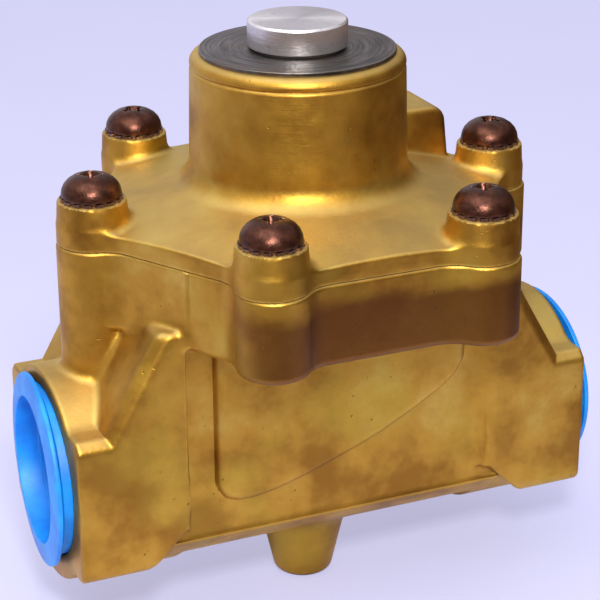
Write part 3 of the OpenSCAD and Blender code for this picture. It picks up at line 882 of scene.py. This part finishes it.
def tarnish_and_painted_reflection(tree, place, color):
    """Reddish tarnish round the front of the flange, paler towards the joint, partly a painted
    reflection of the dim surroundings in front on the faces that look that way.
    """
    parts = split(tree, place)
    radius = axis_distance(tree, parts)
    toward = maths(tree, "SUBTRACT", scaled(tree, parts[0], 0.09), parts[1])
    facing = smooth(tree, maths(tree, "DIVIDE", toward, radius), 0.66, 0.86)
    cloud = scaled(tree, noise(tree, place, 12.0, 3.0, 0.5), 5.0)
    height = maths(tree, "ADD", parts[2], cloud)
    band = inside_band(tree, height, 29.5, 43.6, 1.6)
    share = scaled(tree, band, facing)
    share = scaled(tree, share, smooth(tree, radius, 30.0, 34.0))
    return blended(tree, scaled(tree, share, 0.88), color, TARNISH_AND_REFLECTION_RED)


def turning_marks(tree, place):
    """Fine level scratches, strongest on the tower."""
    lines = noise(tree, stretched(tree, place, (0.05, 0.05, 3.2)), 1.0, 3.0, 0.6)
    parts = split(tree, place)
    return scaled(tree, lines, inside_band(tree, parts[2], 57.0, 77.0, 1.5))


def upward_share(tree, low, high):
    """1 where the surface faces up; tops are painted paler with it, a painted sheen of the light
    from above, and made rougher.
    """
    normal = add(tree, "ShaderNodeNewGeometry").outputs["Normal"]
    parts = split(tree, normal)
    return smooth(tree, parts[2], low, high)


def cast_brass(name, front_tarnish_and_reflection):
    material, tree, shader = new_material(name, 1.0, 0.4)
    place = millimetres(tree)
    color = brass_color(tree, place)
    # The front of the body flange gets reddish tarnish, partly a painted reflection of the dim
    # surroundings in front.
    if front_tarnish_and_reflection:
        color = tarnish_and_painted_reflection(tree, place, color)
    color, specks = pitted(tree, place, color)
    upward = upward_share(tree, 0.45, 0.9)
    # Painted light: faces that look up are painted paler, as if lit from above.
    color = blended(tree, scaled(tree, upward, 0.5), color, BRASS_LIT_TOP)
    edges = edge_share(tree, 0.0011, 0.16, 0.42)
    color = blended(tree, scaled(tree, edges, 0.45), color, BRASS_PALE)
    creases = crease_shade_share(tree, 0.003, 0.40, 0.82)
    # Creases are darkened: dirt and painted shade where light does not reach.
    color = blended(tree, scaled(tree, creases, 0.7), color, DIRT_AND_CREASE_SHADE)
    grain = noise(tree, place, 0.7, 4.0, 0.6)
    marks = turning_marks(tree, place)
    uneven = noise(tree, place, 6.0, 3.0, 0.6)
    roughness = maths(tree, "ADD", scaled(tree, uneven, 0.22), 0.36)
    roughness = maths(tree, "ADD", roughness, scaled(tree, upward, 0.10))
    roughness = maths(tree, "ADD", roughness, scaled(tree, creases, 0.2))
    height = maths(tree, "SUBTRACT", grain, scaled(tree, specks, 1.5))
    height = maths(tree, "ADD", height, scaled(tree, uneven, 1.2))
    height = maths(tree, "ADD", height, scaled(tree, marks, 0.8))
    finish_shader(tree, shader, color, roughness, bumped(tree, height, 0.00004))
    return material


def turned_brass():
    material, tree, shader = new_material("turned_brass", 1.0, 0.25)
    place = millimetres(tree)
    clouds = noise(tree, place, 6.0, 3.0, 0.5)
    lines = noise(tree, stretched(tree, place, (0.1, 0.1, 4.0)), 1.0, 3.0, 0.6)
    color = blended(tree, clouds, (0.62, 0.40, 0.10), (0.78, 0.56, 0.20))
    # Painted shade darkens the creases.
    color = blended(tree, crease_shade_share(tree, 0.002, 0.4, 0.8), color, DIRT_AND_CREASE_SHADE)
    roughness = maths(tree, "ADD", scaled(tree, lines, 0.25), 0.15)
    finish_shader(tree, shader, color, roughness, bumped(tree, lines, 0.00003))
    return material


# Steel, aluminium, rubber and plastic

DISC_DARK = (0.030, 0.027, 0.024)
DISC_PALE = (0.20, 0.18, 0.165)
DISC_BROWN = (0.13, 0.085, 0.055)
SCUFF_BLUE = (0.35, 0.55, 0.9)


def screw_steel(name, dark, pale, roughness_low):
    material, tree, shader = new_material(name, 0.85, 0.35)
    place = millimetres(tree)
    clouds = noise(tree, place, 2.6, 5.0, 0.65)
    grain = noise(tree, place, 0.35, 3.0, 0.6)
    color = blended(tree, smooth(tree, clouds, 0.38, 0.68), dark, pale)
    edges = edge_share(tree, 0.0005, 0.2, 0.5)
    color = blended(tree, scaled(tree, edges, 0.5), color, (0.34, 0.22, 0.17))
    roughness = maths(tree, "ADD", scaled(tree, clouds, 0.25), roughness_low)
    height = maths(tree, "ADD", grain, scaled(tree, clouds, 2.0))
    finish_shader(tree, shader, color, roughness, bumped(tree, height, 0.00004))
    return material


def stem_steel():
    material, tree, shader = new_material("stem_steel", 1.0, 0.3)
    place = millimetres(tree)
    lines = noise(tree, stretched(tree, place, (0.3, 0.3, 5.0)), 1.0, 3.0, 0.6)
    clouds = noise(tree, place, 5.0, 3.0, 0.5)
    color = blended(tree, clouds, (0.38, 0.38, 0.40), (0.60, 0.60, 0.61))
    # Painted shade darkens the creases.
    color = blended(tree, crease_shade_share(tree, 0.002, 0.4, 0.8), color, (0.08, 0.07, 0.06))
    roughness = maths(tree, "ADD", scaled(tree, lines, 0.3), 0.15)
    finish_shader(tree, shader, color, roughness, bumped(tree, lines, 0.00003))
    return material


def arc_lines(tree, place, fineness, swing):
    """Streaks that run round the axis, as a facing tool leaves them."""
    parts = split(tree, place)
    radius = axis_distance(tree, parts)
    angle = maths(tree, "ARCTAN2", parts[1], parts[0])
    values = {0: scaled(tree, radius, fineness), 1: scaled(tree, angle, swing), 2: 0.0}
    round_place = add(tree, "ShaderNodeCombineXYZ", values)
    return noise(tree, round_place.outputs[0], 1.0, 4.0, 0.65)


def disc_steel():
    material, tree, shader = new_material("disc_steel", 0.95, 0.3)
    place = millimetres(tree)
    arcs = arc_lines(tree, place, 2.4, 1.3)
    fine = arc_lines(tree, place, 9.0, 3.0)
    clouds = noise(tree, place, 6.0, 4.0, 0.6)
    color = blended(tree, smooth(tree, arcs, 0.36, 0.66), DISC_DARK, DISC_PALE)
    color = blended(tree, scaled(tree, smooth(tree, clouds, 0.48, 0.66), 0.7), color, DISC_BROWN)
    edges = edge_share(tree, 0.0005, 0.2, 0.5)
    color = blended(tree, scaled(tree, edges, 0.7), color, (0.62, 0.58, 0.55))
    roughness = maths(tree, "ADD", scaled(tree, fine, 0.35), 0.2)
    height = maths(tree, "ADD", fine, arcs)
    finish_shader(tree, shader, color, roughness, bumped(tree, height, 0.00004))
    return material


def cap_aluminium():
    material, tree, shader = new_material("cap_aluminium", 0.9, 0.3)
    shader.inputs["Anisotropic"].default_value = 0.8
    tangent = add(tree, "ShaderNodeTangent", direction_type="RADIAL", axis="Z")
    tree.links.new(tangent.outputs[0], shader.inputs["Tangent"])
    place = millimetres(tree)
    clouds = noise(tree, place, 3.2, 5.0, 0.7)
    lines = noise(tree, stretched(tree, place, (0.12, 0.12, 5.0)), 1.0, 3.0, 0.6)
    arcs = arc_lines(tree, place, 5.0, 1.0)
    color = blended(tree, clouds, (0.60, 0.56, 0.56), (0.80, 0.78, 0.80))
    smudges = smooth(tree, noise(tree, place, 2.2, 3.0, 0.6), 0.56, 0.7)
    color = blended(tree, scaled(tree, smudges, 0.35), color, (0.42, 0.30, 0.22))
    roughness = maths(tree, "ADD", scaled(tree, lines, 0.2), 0.2)
    height = maths(tree, "ADD", lines, scaled(tree, arcs, 0.7))
    finish_shader(tree, shader, color, roughness, bumped(tree, height, 0.00004))
    return material


def black_rubber():
    material, tree, shader = new_material("black_rubber", 0.0, 0.75)
    place = millimetres(tree)
    clouds = noise(tree, place, 4.0, 4.0, 0.6)
    grain = noise(tree, place, 0.5, 3.0, 0.6)
    color = blended(tree, clouds, (0.012, 0.011, 0.010), (0.045, 0.038, 0.033))
    roughness = maths(tree, "ADD", scaled(tree, grain, 0.3), 0.55)
    finish_shader(tree, shader, color, roughness, bumped(tree, grain, 0.00006))
    return material


def blue_plastic(name, deep, pale, rough):
    material, tree, shader = new_material(name, 0.0, rough)
    place = millimetres(tree)
    clouds = noise(tree, place, 7.0, 4.0, 0.6)
    scuffs = noise(tree, stretched(tree, place, (1.0, 1.0, 0.2)), 0.8, 4.0, 0.7)
    grain = noise(tree, place, 0.4, 3.0, 0.6)
    color = blended(tree, smooth(tree, clouds, 0.35, 0.65), deep, pale)
    color = blended(tree, scaled(tree, smooth(tree, scuffs, 0.6, 0.8), 0.3), color, SCUFF_BLUE)
    roughness = maths(tree, "ADD", scaled(tree, scuffs, 0.25), rough - 0.1)
    finish_shader(tree, shader, color, roughness, bumped(tree, grain, 0.00003))
    return material


# Pieces

SPACING = 0.5
SCREW_SPACING = 0.15
CAST_TRIANGLES = 190000
SCREW_TRIANGLES = 14000

TURNED_BRASS = turned_brass()
STEM_STEEL = stem_steel()
BLACK_RUBBER = black_rubber()
SCREW_STEEL = screw_steel("screw_steel", (0.050, 0.017, 0.010), (0.105, 0.038, 0.022), 0.20)
# Pale steel inside the cross recess: worn bare by the driver, and a painted glint of the light on
# the recess walls.
RECESS_WEAR_AND_GLINT_STEEL = screw_steel("recess_wear_and_glint_steel", (0.45, 0.38, 0.34), (0.80, 0.74, 0.70), 0.15)


def cast_piece(name, function, ends, crisp, material, node):
    axes = [levels(-end, end, SPACING) for end in ends[:2]]
    axes.append(levels(ends[2], ends[3], SPACING, crisp))
    mesh = thinned(field_mesh(name, function, axes, SPACING), CAST_TRIANGLES)
    new_object(name, finished(mesh), [material], "housing", node)


def screw_mesh():
    side = HEAD_PROFILE[2][0] + 0.5
    across = levels(-side, side, SCREW_SPACING)
    along = levels(-SCREW_LEN - 0.5, HEAD_PROFILE[-1][1] + 0.5, SCREW_SPACING)
    mesh = field_mesh("bonnet_screw", screw_field, [across, across, along], SCREW_SPACING)
    mesh = thinned(mesh, SCREW_TRIANGLES)
    centres = np.array([face.center[:] for face in mesh.polygons])
    away = head_recess(*centres.T)
    # Faces inside the recess get the pale steel, for wear and a painted glint.
    glint_and_wear = ((away < 0.1) & (centres[:, 2] > 1.5)).astype(np.int32)
    mesh.polygons.foreach_set("material_index", glint_and_wear)
    return finished(mesh)


def add_screws():
    screw = screw_mesh()
    washer = finished(washer_mesh())
    kinds = (
        ("screw_piece", screw, "bonnet_screw", HEAD_SEAT_Z, 1),
        ("washer_piece", washer, "lock_washer", BOSS_Z, 0.5),
    )
    for i, turn in enumerate(RECESS_TURNS):
        angle = math.radians(60 * i)
        x = VALVE_AXIS_X + BOLT_R * math.cos(angle)
        y = BOLT_R * math.sin(angle)
        for piece, mesh, node, z, share in kinds:
            name = f"{piece}_{i + 1}"
            thing = new_object(name, mesh, [], "housing", f"{node}_{i + 1}")
            thing.location = (x * MM, y * MM, z * MM)
            thing.rotation_euler = (0, 0, math.radians(turn * share))
    for material in (SCREW_STEEL, RECESS_WEAR_AND_GLINT_STEEL):
        screw.materials.append(material)
    washer.materials.append(SCREW_STEEL)


def add_cover():
    disc = lathe("cover_disc", (
        (CAP_HOLE_R, TOWER_Z), (DISC_R, TOWER_Z, 0.15), (DISC_R, DISC_TOP_Z, 0.18),
        (CAP_HOLE_R, DISC_TOP_Z),
    ))
    new_object("disc_piece", finished(disc), [disc_steel()], "housing", "cover_disc")
    gasket = lathe("cap_gasket", (
        (CAP_HOLE_R, DISC_TOP_Z), (GASKET_R, DISC_TOP_Z, 0.2), (GASKET_R, CAP_LOW_Z, 0.2),
        (CAP_HOLE_R, CAP_LOW_Z),
    ))
    finished(gasket)
    new_object("gasket_piece", gasket, [BLACK_RUBBER], "housing", "cap_gasket")
    top = CAP_LOW_Z + CAP_H
    spigot_z = CAP_LOW_Z - SPIGOT_LEN
    cap = lathe("top_cap", (
        (0.0, spigot_z), (SPIGOT_R, spigot_z, 0.3), (SPIGOT_R, CAP_LOW_Z),
        (CAP_R, CAP_LOW_Z, 0.2), (CAP_R, top - 0.4, 0.12), (CAP_R - 0.4, top, 0.12), (0.0, top),
    ))
    new_object("cap_piece", finished(cap), [cap_aluminium()], "housing", "top_cap")


def plug_mesh(name, side):
    """Side is 1 for the outlet and -1 for the inlet, which is its mirror image."""
    inner = PLUG_R - 0.5
    profile = (
        (0.0, PLUG_BACK_X), (PLUG_R - 0.6, PLUG_BACK_X, 0.3), (PLUG_R, PLUG_BACK_X + 1.5, 0.3),
        (PLUG_R, FACE_X + 0.65, 0.25), (inner, FACE_X + 0.7, 0.1), (inner, PLUG_FLANGE_X, 0.15),
        (PLUG_FLANGE_R, PLUG_FLANGE_X, 0.25), (PLUG_FLANGE_R, PLUG_EDGE_X, 0.25),
        (PLUG_HOLLOW_R, PLUG_RIM_X, 0.35), (PLUG_HOLLOW_R - 0.1, PLUG_RIM_X - 4.4, 0.2),
        (PLUG_HOLLOW_R - 0.6, PLUG_RIM_X - 4.5, 0.2), (PLUG_HOLLOW_R - 0.7, PLUG_FLOOR_X, 0.5),
        (0.0, PLUG_FLOOR_X),
    )
    mesh = lathe(name, profile)
    face_low = PLUG_EDGE_X - 0.1
    for face in mesh.polygons:
        radius = math.hypot(face.center[0], face.center[1])
        if radius > PLUG_HOLLOW_R + 0.15 and face.center[2] > face_low:
            face.material_index = 1
    mesh.transform(Matrix.Rotation(math.pi / 2, 4, "Y"))
    mesh.transform(Matrix.Translation((-PLUG_GRIP_X, 0, 0)))
    mesh.transform(Matrix.Rotation(math.radians(PLUG_ASKEW), 4, "Z"))
    mesh.transform(Matrix.Translation((PLUG_GRIP_X, 0, 0)))
    if side < 0:
        mesh.transform(Matrix.Scale(-1, 4, (1, 0, 0)))
        mesh.flip_normals()
    return finished(mesh)


def add_plugs():
    deep = blue_plastic("blue_plastic", (0.0, 0.17, 0.60), (0.0, 0.26, 0.76), 0.46)
    # The outer face of each plug gets a paler copy of the blue, a painted sheen of the light on
    # that face.
    pale = blue_plastic("blue_plastic_face_sheen", (0.03, 0.27, 0.60), (0.06, 0.34, 0.68), 0.5)
    for name, side in (("inlet", -1), ("outlet", 1)):
        node = name + "_plug"
        mesh = plug_mesh(node, side)
        new_object(node + "_piece", mesh, [deep, pale], name + "_cover", node)


def dress_inner_parts():
    """Gives the carried-over solids inside the valve their finish."""
    finishes = {
        "seat_ring": TURNED_BRASS, "disc_holder": TURNED_BRASS, "guide_bush": TURNED_BRASS,
        "seat_disc": BLACK_RUBBER, "diaphragm": BLACK_RUBBER,
        "stem": STEM_STEEL, "stem_nut": STEM_STEEL, "diaphragm_plate": STEM_STEEL,
        "return_spring": STEM_STEEL,
    }
    for name, material in finishes.items():
        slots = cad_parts[name].data.materials
        slots.clear()
        slots.append(material)


cast_piece(
    "body_casting", body_field, (53.5, 43.5, -34, 45.2), (FLANGE_LOW_Z + 0.8, JOINT_Z),
    cast_brass("cast_brass_body", True), "valve_body",
)
cast_piece(
    "bonnet_casting", bonnet_field, (49, 43.5, 43.8, 76.6), (JOINT_Z, EDGE_Z, GROOVE_Z),
    cast_brass("cast_brass_bonnet", False), "bonnet",
)
add_screws()
add_cover()
add_plugs()
dress_inner_parts()


# Floor, light and camera

BACKGROUND = (0.68, 0.675, 0.96, 1)
# Dim warm brown that the floor shows only in reflections, painted shade for the dim surroundings
# in front and to the right.
REFLECTED_SHADE_BROWN = (0.16, 0.085, 0.045, 1)
FLOOR_Z = -FOOT_Z - 0.1
MIDDLE = Vector((VALVE_AXIS_X * MM, 0, 0.025))
CAMERA_PLACE = Vector((-144.4 + VALVE_AXIS_X, -332.9, 174.0)) * MM
CAMERA_YAW = math.radians(23.48)
CAMERA_PITCH = math.radians(22.23)
CAMERA_ROLL = math.radians(-0.30)
SENSOR_W = 36
FOCAL_PER_WIDTH = 2003.78 / 600


def floor_material():
    """Pale to the camera; reflections show its front and right parts dim and warm."""
    material, tree, shader = new_material("floor", 0.0, 0.8)
    place = millimetres(tree)
    folds = noise(tree, place, 60.0, 3.0, 0.5)
    color = blended(tree, folds, (0.60, 0.60, 0.80), (0.68, 0.67, 0.88))
    tree.links.new(color, shader.inputs["Base Color"])
    paths = add(tree, "ShaderNodeLightPath").outputs
    glow = add(tree, "ShaderNodeEmission", {"Color": BACKGROUND, "Strength": 1.0})
    share = scaled(tree, paths["Is Camera Ray"], 0.6)
    both = add(tree, "ShaderNodeMixShader", {0: share, 1: shader.outputs[0], 2: glow.outputs[0]})
    # Glossy rays see the front and right of the floor glow dim brown: painted shade in
    # reflections.
    dim = add(tree, "ShaderNodeEmission", {"Color": REFLECTED_SHADE_BROWN, "Strength": 1.0})
    parts = split(tree, place)
    front = maths(tree, "ADD", scaled(tree, parts[0], -0.40), scaled(tree, parts[1], -0.92))
    in_front = smooth(tree, front, 60.0, 170.0)
    beyond = maths(tree, "MAXIMUM", in_front, smooth(tree, parts[0], 130.0, 220.0))
    beyond = scaled(tree, beyond, paths["Is Glossy Ray"])
    both = add(tree, "ShaderNodeMixShader", {0: beyond, 1: both.outputs[0], 2: dim.outputs[0]})
    tree.links.new(both.outputs[0], tree.nodes["Material Output"].inputs["Surface"])
    return material


def add_floor():
    mesh = bpy.data.meshes.new("floor")
    bm = bmesh.new()
    bmesh.ops.create_grid(bm, x_segments=1, y_segments=1, size=3)
    bm.to_mesh(mesh)
    bm.free()
    floor = bpy.data.objects.new("floor", mesh)
    floor.location = (0, 0, FLOOR_Z * MM)
    bpy.context.scene.collection.objects.link(floor)
    mesh.materials.append(floor_material())


def add_lamp(name, place, target, size, power):
    data = bpy.data.lights.new(name, "AREA")
    data.size = size
    data.energy = power
    lamp = bpy.data.objects.new(name, data)
    lamp.location = place
    way = Vector(target) - Vector(place)
    lamp.rotation_mode = "QUATERNION"
    lamp.rotation_quaternion = way.to_track_quat("-Z", "Y")
    bpy.context.scene.collection.objects.link(lamp)


def add_camera():
    level = Vector((math.cos(CAMERA_YAW), -math.sin(CAMERA_YAW), 0))
    forward = Vector((math.sin(CAMERA_YAW), math.cos(CAMERA_YAW), 0)) * math.cos(CAMERA_PITCH)
    ahead = forward - Vector((0, 0, math.sin(CAMERA_PITCH)))
    up = level.cross(ahead)
    right = math.cos(CAMERA_ROLL) * level + math.sin(CAMERA_ROLL) * up
    above = -math.sin(CAMERA_ROLL) * level + math.cos(CAMERA_ROLL) * up
    data = bpy.data.cameras.new("camera")
    data.sensor_width = SENSOR_W
    data.lens = SENSOR_W * FOCAL_PER_WIDTH
    data.clip_start = 0.01
    data.clip_end = 20
    camera = bpy.data.objects.new("camera", data)
    turn = Matrix((right, above, -ahead)).transposed().to_4x4()
    camera.matrix_world = Matrix.Translation(CAMERA_PLACE) @ turn
    bpy.context.scene.collection.objects.link(camera)
    bpy.context.scene.camera = camera


def add_world():
    """Pale above and to the left, dim and warm to the front and to the right."""
    world = bpy.data.worlds.new("world")
    bpy.context.scene.world = world
    world.use_nodes = True
    tree = world.node_tree
    way = add(tree, "ShaderNodeTexCoord").outputs["Generated"]
    parts = split(tree, way)
    front = maths(tree, "ADD", scaled(tree, parts[0], -0.20), scaled(tree, parts[1], -0.98))
    right = smooth(tree, parts[0], 0.1, 0.8)
    dim = maths(tree, "MAXIMUM", smooth(tree, front, 0.1, 0.8), right)
    shade = blended(tree, dim, (0.80, 0.79, 0.90), (0.10, 0.06, 0.04))
    color = blended(tree, smooth(tree, parts[2], 0.35, 0.8), shade, (0.85, 0.84, 0.90))
    paths = add(tree, "ShaderNodeLightPath").outputs
    color = blended(tree, paths["Is Camera Ray"], color, BACKGROUND[:3])
    background = tree.nodes["Background"]
    tree.links.new(color, background.inputs["Color"])
    background.inputs["Strength"].default_value = 1.0


add_floor()
add_lamp("flash", CAMERA_PLACE + Vector((0.02, 0.0, 0.10)), MIDDLE, 0.06, 2.0)
add_lamp("soft_box", (-0.25, -0.15, 0.9), MIDDLE, 0.7, 5.0)
add_world()
add_camera()
bpy.context.scene.view_settings.view_transform = "Standard"
